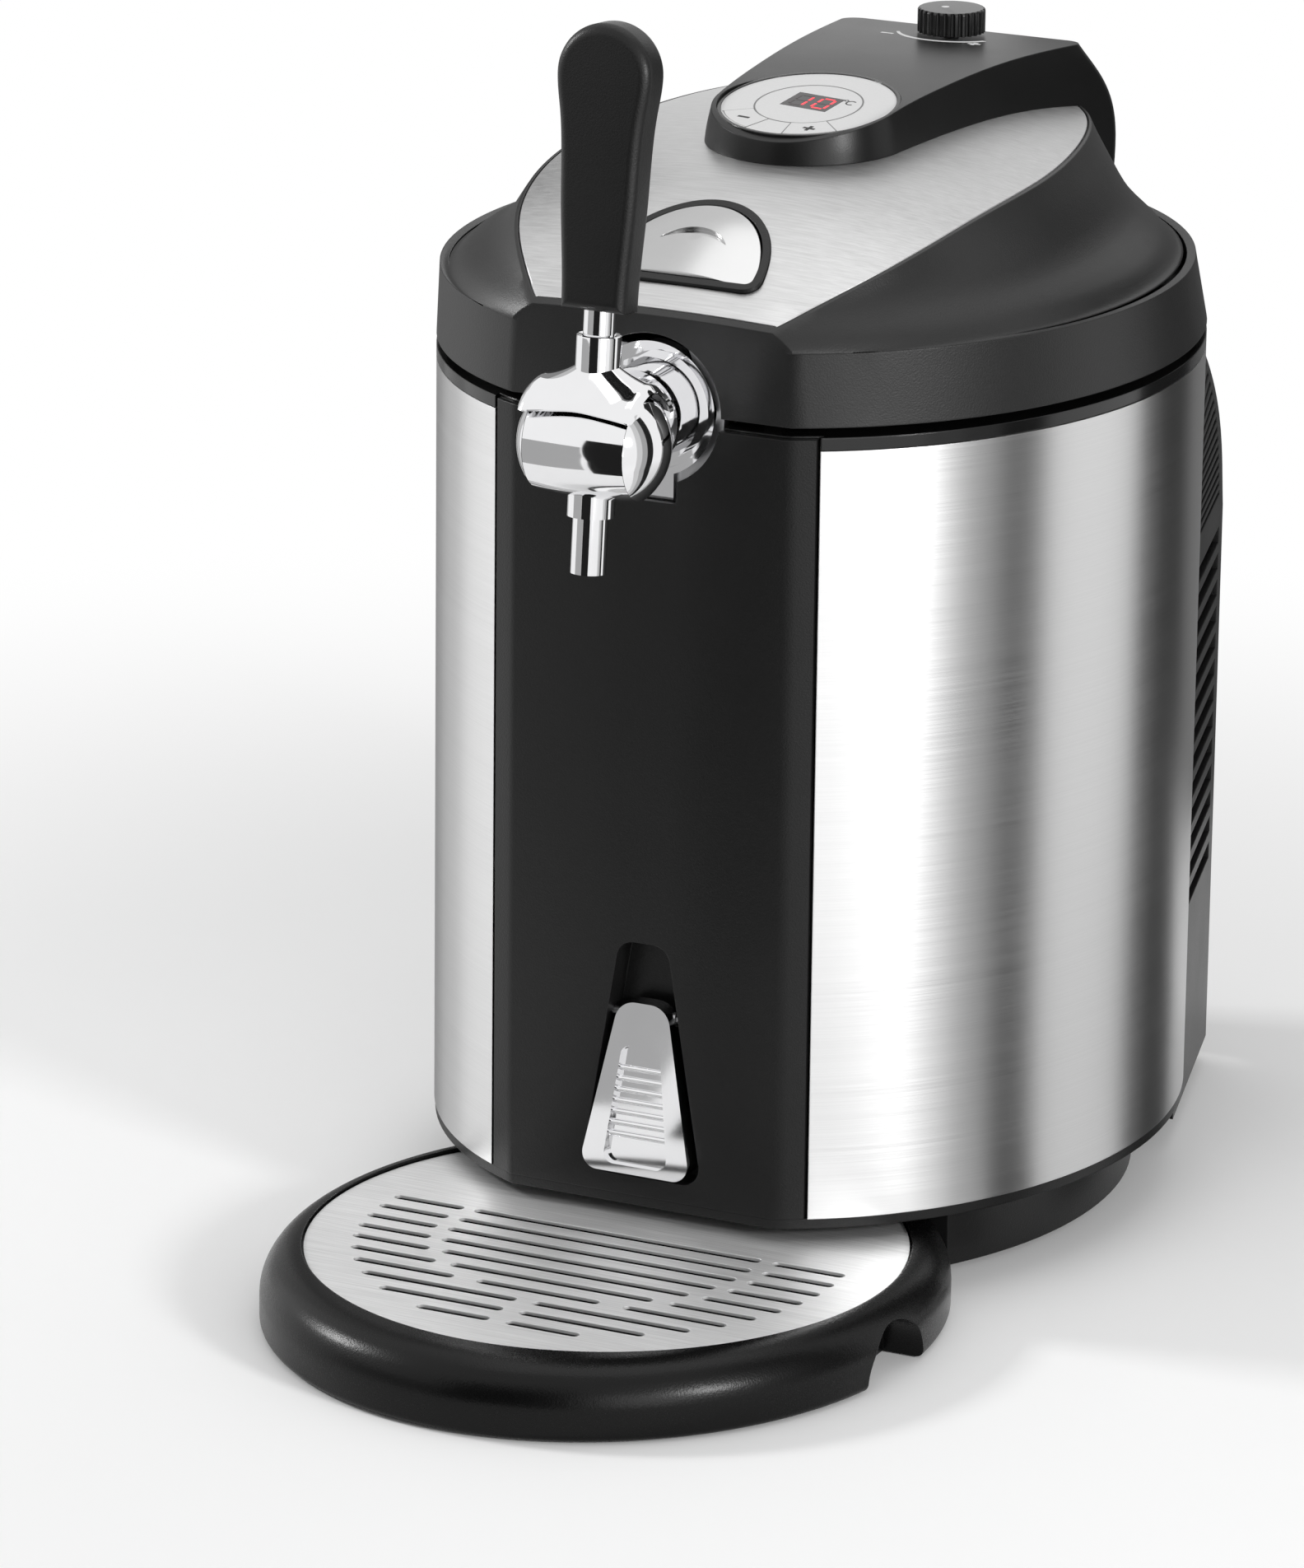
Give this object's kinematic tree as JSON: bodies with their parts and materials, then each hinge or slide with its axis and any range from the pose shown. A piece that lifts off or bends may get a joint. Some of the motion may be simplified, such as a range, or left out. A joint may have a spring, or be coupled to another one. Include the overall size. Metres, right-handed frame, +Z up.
{
  "type": "draft beer dispenser",
  "caption": "Table-top draft beer dispenser: oval steel body with a keg chamber, hinged lid with controls, chrome tap with lever, and a slide-out drip tray with grid.",
  "frame": {"origin": "centre of the bounding box on the table plane", "axes": "+X to the right seen from the front, -Y to the front with the tap and tray, +Z up"},
  "size_m": [0.275, 0.495, 0.475],
  "materials": {
    "satin_black": "satin moulded",
    "brushed_steel": "brushed",
    "chrome": "polished",
    "gloss_black": "half gloss",
    "silver_film": "silver film",
    "display_glass": "dark window with red digits",
    "plain_steel": "plain",
    "aluminium": "plain",
    "brass": "turned",
    "black_rubber": "matte",
    "circuit_board": "lacquered board",
    "foam": "rigid foam",
    "ceramic": "ceramic plates",
    "grey_paint": "painted"
  },
  "bodies": {
    "body": {"base_pan": "satin_black", "rubber_feet": "black_rubber", "front_panel": "satin_black", "left_side_shell": "brushed_steel", "right_side_shell": "brushed_steel", "top_deck": "satin_black", "keg_chamber": "aluminium", "insulation_jacket": "foam", "cold_block": "aluminium", "cooling_module": "ceramic", "heat_sink": "aluminium", "fan_frame": "satin_black", "rear_housing": "satin_black", "housing_screws": "plain_steel", "power_board": "circuit_board", "power_inlet": "satin_black", "hinge_bracket": "satin_black", "hinge_pin": "plain_steel", "tap_barrel": "chrome", "barrel_caps": "chrome", "tap_flange": "chrome", "tap_shank": "chrome", "shank_seals": "black_rubber", "tap_bracket": "plain_steel", "shank_nut": "brass", "beer_nipple": "brass", "spout_collar": "chrome", "tap_spout": "chrome", "lever_pin": "plain_steel", "lid_gasket": "black_rubber", "release_pin": "plain_steel", "release_spring": "plain_steel"},
    "tap_lever": {"lever_hood": "chrome", "lever_stem": "chrome", "tap_handle": "satin_black"},
    "valve_plunger": {"valve_plunger": "plain_steel"},
    "lid": {"lid_frame": "satin_black", "lid_plate": "brushed_steel", "lid_inner_cover": "satin_black", "lid_screws": "plain_steel", "button_surround": "satin_black", "button_spring": "plain_steel", "control_head": "gloss_black", "disc_bezel": "gloss_black", "control_disc": "silver_film", "display_window": "display_glass", "control_board": "circuit_board", "gas_regulator": "brass", "gas_cartridge": "grey_paint", "gas_outlet": "brass"},
    "lid_button": {"lid_button": "chrome"},
    "lid_latch": {"lid_latch": "satin_black"},
    "minus_key": {"minus_key": "silver_film"},
    "plus_key": {"plus_key": "silver_film"},
    "pressure_knob": {"pressure_knob": "gloss_black", "knob_spindle": "plain_steel"},
    "drip_tray": {"drip_tray": "satin_black"},
    "drip_grid": {"drip_grid": "brushed_steel"},
    "release_lever": {"release_lever": "chrome"},
    "fan_rotor": {"fan_rotor": "satin_black"}
  },
  "joints": [
    {"name": "tap_pull", "type": "hinge", "parent": "body", "child": "tap_lever", "pos_m": [0, -0.1288, 0.3295], "axis": [1, 0, 0], "range_deg": [0, 40]},
    {"name": "plunger_slide", "type": "slide", "parent": "body", "child": "valve_plunger", "axis": [0, 1, 0], "range_m": [0, 0.0061]},
    {"name": "lid_hinge", "type": "hinge", "parent": "body", "child": "lid", "pos_m": [0, 0.2285, 0.331], "axis": [-1, 0, 0], "range_deg": [0, 75]},
    {"name": "button_press", "type": "slide", "parent": "lid", "child": "lid_button", "axis": [0, 0.4147, -0.91], "range_m": [0, 0.003], "stiffness_N_per_m": 900, "springref_m": -0.004},
    {"name": "latch_slide", "type": "slide", "parent": "lid", "child": "lid_latch", "axis": [0, 1, 0], "range_m": [0, 0.003]},
    {"name": "minus_press", "type": "slide", "parent": "lid", "child": "minus_key", "axis": [0, 0.1409, -0.99], "range_m": [0, 0.0006], "stiffness_N_per_m": 1500, "springref_m": -0.0005},
    {"name": "plus_press", "type": "slide", "parent": "lid", "child": "plus_key", "axis": [0, 0.1409, -0.99], "range_m": [0, 0.0006], "stiffness_N_per_m": 1500, "springref_m": -0.0005},
    {"name": "knob_turn", "type": "hinge", "parent": "lid", "child": "pressure_knob", "pos_m": [0, 0.1749, 0.4166], "axis": [0, 0, 1], "range_deg": [-135, 135]},
    {"name": "tray_slide", "type": "slide", "parent": "body", "child": "drip_tray", "axis": [0, -1, 0], "range_m": [0, 0.15]},
    {"name": "grid_lift", "type": "slide", "parent": "drip_tray", "child": "drip_grid", "axis": [0, 0, 1], "range_m": [0, 0.004]},
    {"name": "release_pull", "type": "hinge", "parent": "body", "child": "release_lever", "pos_m": [0, -0.0785, 0.102], "axis": [-1, 0, 0], "range_deg": [0, 20], "stiffness_Nm_per_rad": 0.4, "springref_deg": -17.19},
    {"name": "fan_spin", "type": "hinge", "parent": "body", "child": "fan_rotor", "pos_m": [0, 0.2185, 0.19], "axis": [0, 1, 0], "continuous": true}
  ],
  "couplings": [
    {"joint": "plunger_slide", "follows": "tap_pull", "m_per_rad": 0.00859},
    {"joint": "latch_slide", "follows": "button_press", "ratio": 1}
  ]
}
